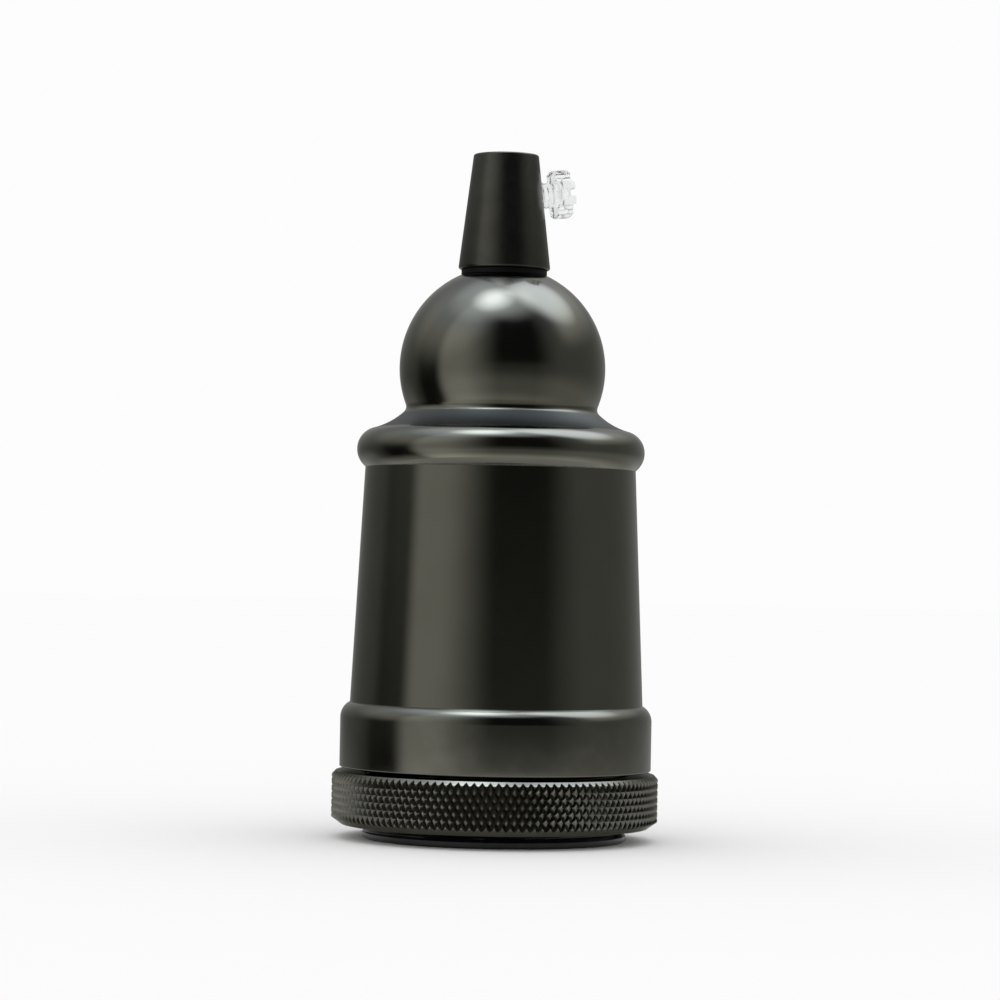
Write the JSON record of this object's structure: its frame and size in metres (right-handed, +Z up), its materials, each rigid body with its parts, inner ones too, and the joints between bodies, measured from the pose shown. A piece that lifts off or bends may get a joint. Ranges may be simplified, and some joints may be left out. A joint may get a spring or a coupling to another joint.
{
  "type": "pendant lamp holder",
  "caption": "Ball-topped metal lamp holder for an Edison screw lamp, with a conical cord grip, clear thumb screw, knurled shade ring and black threaded sleeve.",
  "frame": {"origin": "centre of the lower rim, on the surface that the holder stands on", "axes": "+Z up along the holder's axis to the cord outlet, +X to the right of the front view"},
  "size_m": [0.049, 0.049, 0.103],
  "materials": {
    "gunmetal": "satin dark plating with soft reflections",
    "knurled_gunmetal": "dark plating worn brighter on the turned chamfer",
    "grip_black": "matte charcoal, fine sprayed texture",
    "black_nylon": "matte",
    "clear_plastic": "clear moulded, glossy",
    "phenolic": "glossy black moulding",
    "porcelain": "white, thinly glazed",
    "zinc_steel": "zinc plated, slightly dull",
    "brass": "plain turned brass"
  },
  "bodies": {
    "holder": {"shell": "gunmetal", "sleeve": "phenolic", "grip_washer": "black_nylon", "core": "porcelain", "nipple": "zinc_steel", "lock_washer": "zinc_steel", "shell_nut": "zinc_steel", "bracket_nut": "zinc_steel", "bracket": "zinc_steel", "earth_washer": "zinc_steel", "core_screw_left": "zinc_steel", "core_screw_right": "zinc_steel", "live_terminal": "brass", "neutral_terminal": "brass", "live_rivet": "brass", "neutral_rivet": "brass", "shell_rivet_left": "brass", "shell_rivet_right": "brass", "screw_shell": "brass"},
    "ring": {"shade_ring": "knurled_gunmetal"},
    "grip": {"cord_grip": "grip_black"},
    "thumb": {"thumb_screw": "clear_plastic"},
    "contact": {"centre_contact": "brass"},
    "live_clamp": {"live_terminal_screw": "brass"},
    "neutral_clamp": {"neutral_terminal_screw": "brass"},
    "earth_clamp": {"earth_screw": "brass"}
  },
  "joints": [
    {"name": "ring_travel", "type": "slide", "parent": "holder", "child": "ring", "axis": [0, 0, -1], "range_m": [0, 0.01]},
    {"name": "grip_travel", "type": "slide", "parent": "holder", "child": "grip", "axis": [0, 0, 1], "range_m": [0, 0.007]},
    {"name": "thumb_travel", "type": "slide", "parent": "grip", "child": "thumb", "axis": [0.9272, 0.3559, 0.117], "range_m": [-0.0017, 0.002]},
    {"name": "contact_bend", "type": "hinge", "parent": "holder", "child": "contact", "pos_m": [0, 0.0084, 0.0279], "axis": [-1, 0, 0], "range_deg": [0, 6], "stiffness_Nm_per_rad": 0.02},
    {"name": "live_clamp_travel", "type": "slide", "parent": "holder", "child": "live_clamp", "axis": [0, 0, 1], "range_m": [-0.0014, 0.001]},
    {"name": "neutral_clamp_travel", "type": "slide", "parent": "holder", "child": "neutral_clamp", "axis": [0, 0, 1], "range_m": [-0.0014, 0.001]},
    {"name": "earth_clamp_travel", "type": "slide", "parent": "holder", "child": "earth_clamp", "axis": [0, 0, 1], "range_m": [0, 0.0024]}
  ]
}
